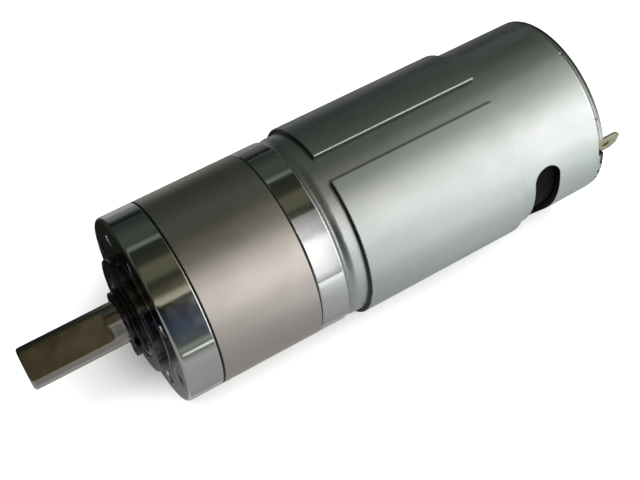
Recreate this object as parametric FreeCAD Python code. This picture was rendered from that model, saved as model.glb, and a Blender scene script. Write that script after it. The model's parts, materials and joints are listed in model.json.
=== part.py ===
"""Inline planetary gearmotor: a brushed DC motor with a split flux ring, and a two-stage gearbox.

Units are millimetres. The origin is the centre of the gearbox's mounting face, on the shaft axis.
+X runs out along the output shaft (front), +Z is up, on the side of the flux ring's gap,
and the vents and terminals are on +Y and -Y.
Angles in the YZ plane are in degrees from +Y towards +Z.
"""
import FreeCAD, Part
import math
import os

V = FreeCAD.Vector
ORIGIN, AXIS = V(0, 0, 0), V(1, 0, 0)
os.makedirs("parts", exist_ok=True)

# ---------------------------------------------------------------- driving dimensions
GEARBOX_R = 18.0            # outside radius of cap, ring gear and adapter
CAP_T = 6.9                 # cap thickness behind the mounting face
RING_L = 19.9
ADAPTER_T = 5.5
PILOT_R, PILOT_H = 11.0, 2.0
SPIGOT_R, SPIGOT_L = 10.9, 2.0
MOUNT_DIST, MOUNT_HOLE_R, MOUNT_DEPTH = 28.0 / 2, 1.25, 5.0     # M3, at tap-drill size
MOUNT_ANGLES = (45.0, 135.0, 225.0, 315.0)
TIE_DIST, TIE_SHANK_R, TIE_HEAD_R = 29.6 / 2, 1.22, 2.15        # long M2.5 screws
TIE_HOLE_R, TIE_TAP_R = 1.35, 1.25
TIE_ANGLES = (0.0, 90.0, 180.0, 270.0)

SHAFT_R, SHAFT_TIP_X = 4.0, 22.0
BEARING_R, BEARING_SEAT_R, BEARING_LAND_R = 7.99, 8.01, 6.5
FRONT_BEARING_X = (-3.1, PILOT_H - 0.1)
REAR_BEARING_X = (-8.6, -4.6)

CAN_R, CAN_L, CAN_WALL = 17.9, 57.0, 1.2
MOTOR_BOSS_R, MOTOR_BOSS_H = 6.5, 4.5
MOTOR_SCREW_DIST, MOTOR_SCREW_R = 25.0 / 2, 1.47
MOTOR_SCREW_ANGLES = (45.0, 225.0)
ROTOR_SHAFT_R = 1.5875
ROTOR_BORE_R = ROTOR_SHAFT_R + 0.008        # bore of whatever is pressed on the rotor shaft
SIDES = (0.0, 180.0)                        # the two terminal sides, +Y and -Y

# stations of the joints along the axis
X_CAP = -CAP_T                      # cap / ring gear
X_RING = X_CAP - RING_L             # ring gear / adapter
X_ADAPTER = X_RING - ADAPTER_T      # adapter / motor
X_REAR = X_ADAPTER - CAN_L          # rear rim of the can


# ---------------------------------------------------------------- helpers
def polar(x, r, angle):
    """Point at station x, radius r and an angle in degrees."""
    t = math.radians(angle)
    return V(x, r * math.cos(t), r * math.sin(t))


def rounded_wire(corners):
    """Closed XY wire from (x, y[, fillet radius]) corners."""
    count = len(corners)
    points = [V(c[0], c[1], 0) for c in corners]
    radii = [c[2] if len(c) > 2 else 0.0 for c in corners]
    joints = []         # start, end and middle of each corner's arc; no middle at a sharp corner
    for i in range(count):
        before, corner, after = points[i - 1], points[i], points[(i + 1) % count]
        radius = radii[i]
        if radius <= 0:
            joints.append((corner, corner, None))
            continue
        back, ahead = (before - corner).normalize(), (after - corner).normalize()
        half = back.getAngle(ahead) / 2
        setback = radius / math.tan(half)
        bisector = (back + ahead).normalize()
        middle = corner + bisector * (radius / math.sin(half) - radius)
        joints.append((corner + back * setback, corner + ahead * setback, middle))
    edges = []
    for i in range(count):
        start, end, middle = joints[i]
        if middle is not None:
            edges.append(Part.Arc(start, middle, end).toShape())
        following = joints[(i + 1) % count][0]
        if end.distanceToPoint(following) > 1e-6:
            edges.append(Part.makeLine(end, following))
    return Part.Wire(edges)


def spin(shape, angle):
    """Rotates the shape about the shaft axis."""
    shape.rotate(ORIGIN, AXIS, angle)
    return shape


def turned(profile, start=0.0, sweep=360.0):
    """Solid of revolution about X from an (x, r[, fillet]) profile."""
    return spin(Part.Face(rounded_wire(profile)).revolve(ORIGIN, AXIS, sweep), start)


def tube(x0, x1, r_out, r_in=0.0, chamfer=0.0):
    """Round bar or tube, x0 < x1, with its outside edges chamfered."""
    if chamfer > 0:
        outside = [(x0, r_out - chamfer), (x0 + chamfer, r_out),
                   (x1 - chamfer, r_out), (x1, r_out - chamfer)]
    else:
        outside = [(x0, r_out), (x1, r_out)]
    return turned([(x0, r_in)] + outside + [(x1, r_in)])


def cyl(x0, x1, r, angle=0.0, dist=0.0):
    """Cylinder along X, x0 < x1, centred at distance dist from the axis."""
    return Part.makeCylinder(r, x1 - x0, polar(x0, dist, angle), AXIS)


def cone(x_front, r_front, x_rear, r_rear, angle, dist):
    """Cone frustum along X, from its front end back to its rear end."""
    base = polar(x_front, dist, angle)
    return Part.makeCone(r_front, r_rear, x_front - x_rear, base, V(-1, 0, 0))


def box(x0, x1, y0, y1, z0, z1, angle=0.0):
    return spin(Part.makeBox(x1 - x0, y1 - y0, z1 - z0, V(x0, y0, z0)), angle)


def sector(x0, x1, r0, r1, a0, a1):
    """Piece of a tube between two angles."""
    return turned([(x0, r0), (x0, r1), (x1, r1), (x1, r0)], a0, a1 - a0)


def fuse(first, *others):
    return first.multiFuse(list(others)).removeSplitter()


def cut(shape, *tools):
    for tool in tools:
        shape = shape.cut(tool)
    return shape


def soft_edges(shape, radius, pick):
    """Fillets the picked edges."""
    edges = [e for e in shape.Edges if pick(e)]
    # the kernel may refuse the fillet; the edges then stay sharp
    try:
        out = shape.makeFillet(radius, edges)
        if out.isValid() and out.Volume > 0:
            return out
    except Exception:
        pass
    return shape


def write_part(name, *shapes):
    """Writes one STEP file holding every solid of the shapes."""
    solids = [solid for shape in shapes for solid in shape.Solids]
    assert solids and all(s.isValid() and s.Volume > 0 for s in solids), name
    part = solids[0] if len(solids) == 1 else Part.makeCompound(solids)
    part.exportStep("parts/" + name + ".step")


# ---------------------------------------------------------------- gear geometry
MODULE = 0.5
PRESSURE = math.radians(20.0)
BACKLASH = 0.06
THINNING = 0.02             # taken off the stage 1 planet's nominal tooth thickness
ADDENDUM, DEDENDUM = 0.98 * MODULE, 1.25 * MODULE       # of the planets
SUN_ROOT_CLEARANCE = 0.13
RING_TEETH, RING_TIP_R, RING_ROOT_R = 46, 11.08, 12.06
CENTRE1, CENTRE2 = 7.125, 7.875             # sun to planet distance of each stage
ANGLES1 = (30.0, 150.0, 270.0)              # planet directions of each stage at rest
ANGLES2 = (90.0, 210.0, 330.0)
FLANK_POINTS = 5


class Gear:
    """Involute gear, sized by its arc tooth thickness at a reference radius."""

    def __init__(self, teeth, thickness, ref_r, root_r, tip_r):
        self.teeth, self.root_r, self.tip_r = teeth, root_r, tip_r
        self.base_r = MODULE * teeth * math.cos(PRESSURE) / 2
        self.base_half_angle = thickness / (2 * ref_r) + self.involute(ref_r)

    def involute(self, r):
        """Involute function of the pressure angle at radius r."""
        a = math.acos(min(1.0, self.base_r / r))
        return math.tan(a) - a

    def half_angle(self, r):
        """Half the angular tooth thickness at radius r, in radians."""
        return self.base_half_angle - self.involute(max(r, self.base_r))

    def thickness(self, r):
        return 2 * r * self.half_angle(r)

    def solid(self, phase, x0, x1, y=0.0, z=0.0):
        """Gear from x0 to x1 with a tooth centred on angle phase, in degrees."""
        start_r = max(self.base_r, self.root_r)
        steps = [(i / (FLANK_POINTS - 1)) ** 1.15 for i in range(FLANK_POINTS)]
        radii = [start_r + (self.tip_r - start_r) * step for step in steps]
        flank = [(r, self.half_angle(r)) for r in radii]
        if self.root_r < self.base_r - 1e-6:
            flank.insert(0, (self.root_r, flank[0][1]))
        points = []
        for k in range(self.teeth):
            middle = math.radians(phase) + 2 * math.pi * k / self.teeth
            tooth = [(r, middle - h) for r, h in flank]
            tooth += [(r, middle + h) for r, h in reversed(flank)]
            points += [V(x0, r * math.cos(t), r * math.sin(t)) for r, t in tooth]
        gear = Part.Face(Part.makePolygon(points + [points[0]])).extrude(V(x1 - x0, 0, 0))
        gear.translate(V(0, y, z))
        return gear


def ring_mesh(centre, planet_teeth):
    """Working pitch radii of the planet and of the ring."""
    scale = centre / (RING_TEETH - planet_teeth)
    return scale * planet_teeth, scale * RING_TEETH


def planet_gear(teeth, thickness, ref_r):
    pitch_r = MODULE * teeth / 2
    return Gear(teeth, thickness, ref_r, pitch_r - DEDENDUM, pitch_r + ADDENDUM)


def sun_gear(teeth, tip_r, planet, centre):
    """Sun whose teeth fill the planet's spaces, less the backlash."""
    scale = centre / (teeth + planet.teeth)
    sun_r, planet_r = scale * teeth, scale * planet.teeth
    thickness = 2 * math.pi * sun_r / teeth - planet.thickness(planet_r) - BACKLASH
    return Gear(teeth, thickness, sun_r, centre - planet.tip_r - SUN_ROOT_CLEARANCE, tip_r)


# the stage 1 planet sets the ring's spaces, they set the stage 2 planet, and planets set suns
PLANET1 = planet_gear(17, math.pi * MODULE / 2 - THINNING, MODULE * 17 / 2)
planet_r, ring_r = ring_mesh(CENTRE1, PLANET1.teeth)
RING_SPACES = Gear(RING_TEETH, PLANET1.thickness(planet_r) + BACKLASH, ring_r,
                   RING_TIP_R, RING_ROOT_R)
planet_r, ring_r = ring_mesh(CENTRE2, 14)
PLANET2 = planet_gear(14, RING_SPACES.thickness(ring_r) - BACKLASH, planet_r)
SUN1 = sun_gear(11, 3.36, PLANET1, CENTRE1)
SUN2 = sun_gear(17, 4.86, PLANET2, CENTRE2)


def planet_phase(angle, teeth):
    """Tooth angle of a planet placed at angle; the ring has a space centred on angle 0."""
    return angle - (angle % (360.0 / RING_TEETH)) * RING_TEETH / teeth


def sun_phase(angle, planet, sun):
    """Tooth angle of the sun that meshes with the planet placed at angle."""
    pitch = 360.0 / planet.teeth
    from_sun = planet_phase(angle, planet.teeth) - (angle + 180.0)
    offset = (from_sun + pitch / 2) % pitch - pitch / 2
    return angle - offset * planet.teeth / sun.teeth + 180.0 / sun.teeth


# all three planets of a stage have to agree on the sun's phase
for planet, sun, angles in ((PLANET1, SUN1, ANGLES1), (PLANET2, SUN2, ANGLES2)):
    pitch = 360.0 / sun.teeth
    for angle in angles[1:]:
        error = (sun_phase(angle, planet, sun) - sun_phase(angles[0], planet, sun)) % pitch
        assert min(error, pitch - error) < 1e-6, "planets don't assemble"


# ---------------------------------------------------------------- gearbox housing
def output_cap():
    front_x, rear_x = FRONT_BEARING_X[0], REAR_BEARING_X[1]     # ends of the land between bearings
    spigot_x = X_CAP - SPIGOT_L
    cap = turned([
        (0.0, PILOT_R), (0.0, GEARBOX_R, 0.8), (X_CAP + 0.2, GEARBOX_R), (X_CAP, GEARBOX_R - 0.2),
        (X_CAP, SPIGOT_R), (spigot_x + 0.3, SPIGOT_R), (spigot_x, SPIGOT_R - 0.3),
        (spigot_x, BEARING_SEAT_R), (rear_x, BEARING_SEAT_R), (rear_x, BEARING_LAND_R),
        (front_x, BEARING_LAND_R), (front_x, BEARING_SEAT_R), (PILOT_H, BEARING_SEAT_R),
        (PILOT_H, PILOT_R, 0.35)])
    for a in TIE_ANGLES:
        cap = cut(cap, cyl(X_CAP - 3, 1, TIE_HOLE_R, a, TIE_DIST),
                  cone(0.02, TIE_HEAD_R + 0.09, -1.16, TIE_HOLE_R, a, TIE_DIST))
    for a in MOUNT_ANGLES:
        cap = cut(cap, cyl(-MOUNT_DEPTH, 1, MOUNT_HOLE_R, a, MOUNT_DIST),
                  cone(0.01, MOUNT_HOLE_R + 0.26, -0.25, MOUNT_HOLE_R, a, MOUNT_DIST))
    return cap


def ring_gear():
    holes = [cyl(X_RING - 1, X_CAP + 1, TIE_HOLE_R, a, TIE_DIST) for a in TIE_ANGLES]
    return cut(tube(X_RING, X_CAP, GEARBOX_R, chamfer=0.2),
               RING_SPACES.solid(0.0, X_RING - 1, X_CAP + 1), *holes)


def adapter_plate():
    bore_r = 4.6
    spigot_x = X_RING + SPIGOT_L
    boss_r, boss_x = MOTOR_BOSS_R + 0.05, X_ADAPTER + MOTOR_BOSS_H + 0.1    # recess for the boss
    plate = turned([
        (spigot_x, bore_r), (spigot_x, SPIGOT_R - 0.3), (spigot_x - 0.3, SPIGOT_R),
        (X_RING, SPIGOT_R), (X_RING, GEARBOX_R - 0.2), (X_RING - 0.2, GEARBOX_R),
        (X_ADAPTER, GEARBOX_R, 0.3), (X_ADAPTER, boss_r), (boss_x, boss_r), (boss_x, bore_r)])
    for a in TIE_ANGLES:
        plate = cut(plate, cyl(X_RING - 4.5, X_RING + 1, TIE_TAP_R, a, TIE_DIST))
    for a in MOTOR_SCREW_ANGLES:
        # through hole, head clearance in the spigot, countersink
        plate = cut(plate, cyl(X_ADAPTER - 1, X_RING, 1.6, a, MOTOR_SCREW_DIST),
                    cyl(X_RING - 0.05, spigot_x + 1, 2.95, a, MOTOR_SCREW_DIST),
                    cone(X_RING - 0.04, 2.86, X_RING - 1.4, 1.55, a, MOTOR_SCREW_DIST))
    return plate


def screws(angles, dist, shank, head, recess):
    """Countersunk screws: shank (x0, x1, r), head (face x, neck x, r), recess (size, depth)."""
    shank_x0, shank_x1, shank_r = shank
    face_x, neck_x, head_r = head
    size, depth = recess
    half, thin = size / 2, size * 0.13      # half length and half width of the cross's bars
    made = []
    for a in angles:
        centre = polar(0, dist, a)
        bars = [box(face_x - depth, face_x + 1, centre.y - y, centre.y + y,
                    centre.z - z, centre.z + z) for y, z in ((half, thin), (thin, half))]
        body = fuse(cyl(shank_x0, shank_x1, shank_r, a, dist),
                    cone(face_x, head_r, neck_x, shank_r, a, dist))
        made.append(cut(body, bars[0].fuse(bars[1])))
    return made


write_part("output_cap", output_cap())
write_part("ring_gear", ring_gear())
write_part("adapter_plate", adapter_plate())
write_part("tie_screws", *screws(
    TIE_ANGLES, TIE_DIST, shank=(X_RING - 4.2, -1.0, TIE_SHANK_R),
    head=(-0.05, -1.18, TIE_HEAD_R), recess=(2.3, 0.8)))
write_part("motor_screws", *screws(
    MOTOR_SCREW_ANGLES, MOTOR_SCREW_DIST, shank=(X_ADAPTER - 2.2, X_RING - 1.2, MOTOR_SCREW_R),
    head=(X_RING - 0.12, X_RING - 1.42, 2.75), recess=(2.8, 0.9)))

# ---------------------------------------------------------------- output shaft and its bearings
SHAFT_REAR_X = -11.9
SHAFT_SPLIT_X = 6.95            # the round journal meets the drive end here
FLAT_DIST, FLAT_LEN = 3.0, 15.1             # shaft axis to the D flat, and its length
FLAT_ANGLE = 70.2               # direction the flat faces at rest
FLAT_RUN_OUT_R = 0.5
CLIP_X, CLIP_T, CLIP_R = 2.95, 0.8, 5.2
CLIP_GROOVE_R = 3.8
CLIP_GAP_ANGLE, CLIP_GAP_W = -22.0, 1.5
CLIP_EYE_Z = 1.95               # from the middle of the gap to each eye


def output_shaft():
    groove_x0, groove_x1 = CLIP_X - 0.02, CLIP_X + CLIP_T + 0.02
    journal = turned([
        (SHAFT_REAR_X, 0.0), (SHAFT_REAR_X, SHAFT_R - 0.3), (SHAFT_REAR_X + 0.3, SHAFT_R),
        (groove_x0, SHAFT_R), (groove_x0, CLIP_GROOVE_R),
        (groove_x1, CLIP_GROOVE_R), (groove_x1, SHAFT_R),
        (SHAFT_SPLIT_X, SHAFT_R), (SHAFT_SPLIT_X, 0.0)])
    drive_end = turned([(SHAFT_SPLIT_X, 0.0), (SHAFT_SPLIT_X, SHAFT_R),
                        (SHAFT_TIP_X, SHAFT_R, 0.55), (SHAFT_TIP_X, 0.0)], FLAT_ANGLE)
    flat_x = SHAFT_TIP_X - FLAT_LEN
    run_out = Part.makeCylinder(FLAT_RUN_OUT_R, 12, V(flat_x, FLAT_DIST + FLAT_RUN_OUT_R, -6),
                                V(0, 0, 1))
    flat = box(flat_x, SHAFT_TIP_X + 1, FLAT_DIST, FLAT_DIST + 4, -6, 6).fuse(run_out)
    centre_mark = cone(SHAFT_TIP_X, 0.9, SHAFT_TIP_X - 1.1, 0.05, 0, 0)
    return cut(journal.fuse(drive_end), spin(flat, FLAT_ANGLE), centre_mark)


def shaft_clip():
    """Retaining ring, thickest opposite its gap, with an eye each side of the gap."""
    front_x = CLIP_X + CLIP_T
    clip = Part.makeCylinder(CLIP_R, CLIP_T, V(CLIP_X, -0.25, 0), AXIS)
    for s in (-1, 1):
        clip = clip.fuse(Part.makeCylinder(1.3, CLIP_T, V(CLIP_X, 5.5, CLIP_EYE_Z * s), AXIS))
        clip = clip.fuse(box(CLIP_X, front_x, 3.6, 5.8, 1.35 * s - 0.95, 1.35 * s + 0.95))
    clip = cut(clip.removeSplitter(), cyl(CLIP_X - 1, CLIP_X + 2, CLIP_GROOVE_R + 0.02),
               box(CLIP_X - 1, CLIP_X + 3, 0, 8, -CLIP_GAP_W / 2, CLIP_GAP_W / 2),
               *[Part.makeCylinder(0.62, 4, V(CLIP_X - 1, 5.6, CLIP_EYE_Z * s), AXIS)
                 for s in (-1, 1)])
    spin(clip, CLIP_GAP_ANGLE)
    return soft_edges(clip, 0.12, lambda e: abs(e.BoundBox.XMin - front_x) < 1e-4
                      and e.BoundBox.XLength < 1e-6)


def write_bearing(prefix, x0, x1, sealed):
    """Deep-groove bearing, 8 mm bore and 16 mm outside."""
    middle, ball_r, pitch_r, count = (x0 + x1) / 2, 1.19, 6.0, 9
    centres = [polar(middle, pitch_r, 360.0 * k / count) for k in range(count)]
    race = Part.makeTorus(pitch_r, ball_r + 0.035, V(middle, 0, 0), AXIS)
    write_part(prefix + "_outer_ring", cut(tube(x0, x1, BEARING_R, 7.0, 0.2), race))
    write_part(prefix + "_inner_ring", cut(tube(x0, x1, 5.0, SHAFT_R + 0.01), race))
    write_part(prefix + "_balls", *[Part.makeSphere(ball_r, c) for c in centres])
    write_part(prefix + "_cage", cut(tube(middle - 0.85, middle + 0.85, 6.35, 5.65),
                                     *[Part.makeSphere(ball_r + 0.05, c) for c in centres]))
    if sealed:
        write_part(prefix + "_seals", tube(x1 - 0.45, x1 - 0.12, 6.97, 5.12),
                   tube(x0 + 0.12, x0 + 0.45, 6.97, 5.12))


write_part("output_shaft", output_shaft())
write_part("shaft_clip", shaft_clip())
write_bearing("front_bearing", *FRONT_BEARING_X, sealed=True)
write_bearing("rear_bearing", *REAR_BEARING_X, sealed=False)

# ---------------------------------------------------------------- plain washers, tubes and bars
# name: x0, x1, outside radius, bore radius, chamfer
PLAIN_TUBES = {
    "clip_washer": (1.98, 2.88, 5.8, SHAFT_R + 0.06, 0.15),
    "carrier_washer": (-9.15, -8.66, 5.2, SHAFT_R + 0.05, 0.0),
    "gearbox_thrust_washer": (-24.72, -24.36, 10.4, 4.7, 0.0),
    "rotor_shaft": (-90.05, -19.9, ROTOR_SHAFT_R, 0.0, 0.2),
    "commutator_hub": (-84.5, -73.4, 3.0, ROTOR_BORE_R, 0.0),
    "suppressor_ring": (-75.4, -74.2, 6.6, 3.05, 0.2),
}
for name, sizes in PLAIN_TUBES.items():
    write_part(name, tube(*sizes))

# ---------------------------------------------------------------- planetary stages
CARRIER_R = 10.6
PIN_R, PLANET_BORE_R = 1.25, 1.30
SUN_HUB_R = 3.6                 # plain rear end of the stage 2 sun, in the stage 1 carrier


def write_planets(prefix, gear, centre, angles, x0, x1):
    for angle, tag in zip(angles, "abc"):
        at = polar(0, centre, angle)
        planet = gear.solid(planet_phase(angle, gear.teeth), x0, x1, at.y, at.z)
        bore = cyl(x0 - 1, x1 + 1, PLANET_BORE_R, angle, centre)
        write_part(prefix + "_" + tag, cut(planet, bore))


def carrier(x0, x1, bore_r, centre, angles):
    holes = [cyl(x0 - 1.5, x1 + 1.5, PIN_R + 0.01, a, centre) for a in angles]
    return cut(tube(x0, x1, CARRIER_R, bore_r, 0.2), *holes)


def pins(x0, x1, centre, angles):
    return [cyl(x0, x1, PIN_R, a, centre) for a in angles]


write_part("output_carrier", carrier(-11.95, -9.25, SHAFT_R + 0.01, CENTRE2, ANGLES2))
write_part("output_carrier_pins", *pins(-17.3, -9.35, CENTRE2, ANGLES2))
write_planets("stage2_planet", PLANET2, CENTRE2, ANGLES2, -17.15, -12.15)
sun2 = SUN2.solid(sun_phase(ANGLES2[0], PLANET2, SUN2), -17.5, -12.3)
write_part("stage2_sun", fuse(sun2, cyl(-19.35, -17.5, SUN_HUB_R)))

write_part("stage1_carrier", carrier(-19.4, -17.6, SUN_HUB_R + 0.01, CENTRE1, ANGLES1))
write_part("stage1_carrier_pins", *pins(-24.25, -17.7, CENTRE1, ANGLES1))
write_planets("stage1_planet", PLANET1, CENTRE1, ANGLES1, -24.15, -19.65)
pinion = SUN1.solid(sun_phase(ANGLES1[0], PLANET1, SUN1), -25.6, -19.65)
write_part("motor_pinion", cut(pinion, cyl(-30, -15, ROTOR_BORE_R)))

# ---------------------------------------------------------------- motor can, flux ring, magnets
CAN_GROOVE_X = X_REAR + 1.25    # shallow groove round the rear of the can, with the dimples in it
VENT_X, VENT_HALF_W, VENT_HALF_DEG = -75.98, 2.82, 30.8
DIMPLES, DIMPLE_ANGLE = 8, 44.0
# rim notches: centre and half width in degrees from a terminal's side, and depth
RIM_NOTCHES = ((24.0, 5.5, 1.3), (3.6, 1.3, 0.95))
RIM_TAB = (10.5, 18.5, 0.28)    # pressed-in part of the rim: its ends in degrees, and how far
FLUX_R, FLUX_L, FLUX_GAP_DEG = 18.8, 33.9, 17.2
FLUX_X1 = X_ADAPTER - 4.1
FLUX_X0 = FLUX_X1 - FLUX_L
MAGNET_X0, MAGNET_X1 = -71.0, -37.0
MAGNET_IN_R, MAGNET_OUT_R, MAGNET_DEG = 12.9, 16.62, 124.0


def motor_can():
    boss_x = X_ADAPTER + MOTOR_BOSS_H
    inner_r, lip_r, boss_bore_r, mouth_r = CAN_R - CAN_WALL, CAN_R - 2.0, 5.1, 2.3
    can = turned([
        (boss_x, mouth_r), (boss_x, MOTOR_BOSS_R, 0.6), (X_ADAPTER, MOTOR_BOSS_R),
        (X_ADAPTER, CAN_R, 2.0), (CAN_GROOVE_X + 0.25, CAN_R), (CAN_GROOVE_X, CAN_R - 0.09),
        (CAN_GROOVE_X - 0.25, CAN_R), (X_REAR, CAN_R, 0.45), (X_REAR, lip_r),
        (X_REAR + 0.7, lip_r), (X_REAR + 0.7, inner_r), (X_ADAPTER - 1.4, inner_r, 0.9),
        (X_ADAPTER - 1.4, boss_bore_r), (boss_x - 0.8, boss_bore_r), (boss_x - 0.8, mouth_r)])
    for a in MOTOR_SCREW_ANGLES:
        can = cut(can, cyl(X_ADAPTER - 3, X_ADAPTER + 1, 1.5, a, MOTOR_SCREW_DIST))
    # each vent is a slot round the can with a round hole at both ends
    end_deg = VENT_HALF_DEG - math.degrees(VENT_HALF_W / CAN_R)
    for side in SIDES:
        can = cut(can, sector(VENT_X - VENT_HALF_W, VENT_X + VENT_HALF_W, 15.0, 20.0,
                              side - end_deg, side + end_deg))
        for a in (side - end_deg, side + end_deg):
            can = cut(can, Part.makeCylinder(VENT_HALF_W, 6, polar(VENT_X, 14.5, a),
                                             polar(0, 1, a)))
    for k in range(DIMPLES):
        a = DIMPLE_ANGLE + 360.0 / DIMPLES * k
        can = cut(can, Part.makeSphere(0.6, polar(CAN_GROOVE_X, CAN_R + 0.42, a)))
    for side in SIDES:
        for m in (-1, 1):
            for middle, half, depth in RIM_NOTCHES:
                a = side + m * middle
                can = cut(can, sector(X_REAR - 1, X_REAR + depth, CAN_R - 2.5, CAN_R + 1,
                                      a - half, a + half))
            a0, a1 = sorted((side + m * RIM_TAB[0], side + m * RIM_TAB[1]))
            can = cut(can, sector(X_REAR - 1, X_REAR + 0.95, CAN_R - RIM_TAB[2], CAN_R + 1,
                                  a0, a1))
    return can


def flux_ring():
    in_r = CAN_R + 0.02
    flux = turned([(FLUX_X0, in_r), (FLUX_X0, FLUX_R, 0.22), (FLUX_X1, FLUX_R, 0.22),
                   (FLUX_X1, in_r)], 90.0 + FLUX_GAP_DEG / 2, 360.0 - FLUX_GAP_DEG)

    def outer_gap_edge(e):
        centre = e.CenterOfMass
        return (e.BoundBox.XLength > FLUX_L * 0.8
                and math.hypot(centre.y, centre.z) > FLUX_R - 0.05)

    return soft_edges(flux, 0.3, outer_gap_edge)


def magnet_clip(middle):
    """Curved band between the magnets with an inward leg at each end."""
    half, leg = 26.5, 24.3      # degrees from the middle to a leg's outer and inner face
    x0, x1, leg_r, band_r, out_r = -62, -42, 13.4, 15.95, 16.55
    return fuse(sector(x0, x1, band_r, out_r, middle - half, middle + half),
                sector(x0, x1, leg_r, out_r, middle - half, middle - leg),
                sector(x0, x1, leg_r, out_r, middle + leg, middle + half))


write_part("motor_can", motor_can())
write_part("flux_ring", flux_ring())
for name, middle in (("top", 90.0), ("bottom", 270.0)):
    write_part("magnet_" + name, sector(MAGNET_X0, MAGNET_X1, MAGNET_IN_R, MAGNET_OUT_R,
                                        middle - MAGNET_DEG / 2, middle + MAGNET_DEG / 2))
for name, side in zip(("left", "right"), SIDES):
    write_part("magnet_clip_" + name, magnet_clip(side))

# ---------------------------------------------------------------- armature
CORE_R, CORE_X0, CORE_X1 = 12.3, -69.5, -39.5
COIL_X0, COIL_L = -72.8, 36.6
POLES = 5
POLE_ANGLES = [90.0 + 360.0 / POLES * k for k in range(POLES)]
# coil section: distance from the axis, z
COIL_OUTLINE = ((5.25, -3.45), (8.35, -5.2), (9.65, -2.4), (9.65, 2.4), (8.35, 5.2), (5.25, 3.45))


def armature_section(x0, x1, r_out):
    """Slice of the armature: a hub, and a web and a curved shoe for each pole."""
    parts = [cyl(x0, x1, 4.6)]
    for a in POLE_ANGLES:
        parts.append(box(x0, x1, 3.0, 10.8, -2.0, 2.0, a))
        parts.append(sector(x0, x1, 10.2, r_out, a - 30, a + 30))
    return cut(fuse(*parts), cyl(x0 - 1, x1 + 1, ROTOR_BORE_R))


def winding(angle):
    points = [V(COIL_X0, y, z) for y, z in COIL_OUTLINE]
    coil = Part.Face(Part.makePolygon(points + [points[0]])).extrude(V(COIL_L, 0, 0))
    coil = soft_edges(coil, 0.9, lambda e: e.BoundBox.XLength < 1e-6)
    return spin(cut(coil, box(-70.4, -38.6, 4.0, 11.0, -2.1, 2.1)), angle)


def commutator_segment(angle):
    """Bar with a raised lug at its front end."""
    return fuse(sector(-84.2, -75.8, 3.02, 4.4, angle - 32.5, angle + 32.5),
                sector(-77.0, -75.8, 4.3, 5.6, angle - 9, angle + 9))


def bush(x0, x1, r):
    return cut(tube(x0, x1, r, chamfer=0.4), cyl(x0 - 5, x1 + 5, ROTOR_SHAFT_R + 0.025))


write_part("armature_core", armature_section(CORE_X0, CORE_X1, CORE_R))
write_part("armature_insulators",
           armature_section(CORE_X1 + 0.02, CORE_X1 + 0.8, CORE_R - 0.4),
           armature_section(CORE_X0 - 0.8, CORE_X0 - 0.02, CORE_R - 0.4))
write_part("armature_windings", *[winding(a) for a in POLE_ANGLES])
write_part("commutator_segments", *[commutator_segment(a + 180.0 / POLES) for a in POLE_ANGLES])
write_part("rotor_spacers", tube(-38.6, -33.55, 2.9, ROTOR_SHAFT_R + 0.01, 0.15),
           tube(-86.0, -84.7, 2.7, ROTOR_SHAFT_R + 0.01, 0.15))
write_part("front_bush", bush(-33.3, -28.7, 5.05))
write_part("rear_bush", bush(-90.0, -86.2, 4.5))

# ---------------------------------------------------------------- end plate, brushes, terminals
TERM_Y, TERM_W, TERM_T, TERM_LEN = 13.0, 4.8, 0.6, 8.0      # length is beyond the can's rim
BRUSH_X = -80.0


def end_plate():
    plate = turned([
        (-87.3, 16.6), (-88.5, 16.6), (-88.5, 5.7, 0.4), (-90.9, 5.7, 0.6),
        (-90.9, 1.9), (-90.2, 1.9), (-90.2, 4.56), (-87.3, 4.56)])
    for side in SIDES:
        plate = cut(plate, box(-90, -86, 11.4, 14.6, -3.6, 3.6, side))
    # a curved slot with round ends above and below the axis
    for middle in (90.0, 270.0):
        plate = cut(plate, sector(-89, -86, 9.6, 12.6, middle - 26, middle + 26),
                    *[cyl(-90, -86, 1.5, middle + s * 26, 11.1) for s in (-1, 1)])
    return plate


def brush_holder():
    """Disc with a rim, and at each side a block in front and a boss behind, slotted together."""
    holder = fuse(tube(-87.25, -84.6, 16.55, 5.4), tube(-85.0, -72.6, 16.55, 15.35),
                  *[box(-85.0, -82.66, 6.2, 15.6, -3.2, 3.2, side) for side in SIDES],
                  *[box(-89.2, -86.9, 11.5, 14.5, -3.5, 3.5, side) for side in SIDES])
    half_t, half_w = TERM_T / 2 + 0.03, TERM_W / 2 + 0.03
    for side in SIDES:
        holder = cut(holder, box(-90, -82, TERM_Y - half_t, TERM_Y + half_t,
                                 -half_w, half_w, side))
    return holder


def brush_box():
    return cut(box(BRUSH_X - 2.6, BRUSH_X + 2.6, 6.0, 15.0, -2.3, 2.3),
               box(BRUSH_X - 2.2, BRUSH_X + 2.2, 5.0, 14.6, -1.9, 1.9))


def brush():
    return cut(box(BRUSH_X - 2.15, BRUSH_X + 2.15, 4.0, 10.2, -1.85, 1.85),
               cyl(BRUSH_X - 4, BRUSH_X + 4, 4.44))


def brush_spring():
    coil_r, wire_r = 1.3, 0.2
    helix = Part.makeHelix(0.85, 3.9, coil_r)       # pitch, height, radius
    section = Part.Wire([Part.makeCircle(wire_r, V(coil_r, 0, 0), V(0, 1, 0))])
    spring = Part.Wire(helix.Edges).makePipeShell([section], True, True)
    # the sweep may come back as a shell
    if spring.ShapeType != "Solid":
        spring = Part.Solid(spring)
    spin(spring, -90)
    spring.translate(V(BRUSH_X, 10.45, 0))
    return spring


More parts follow.
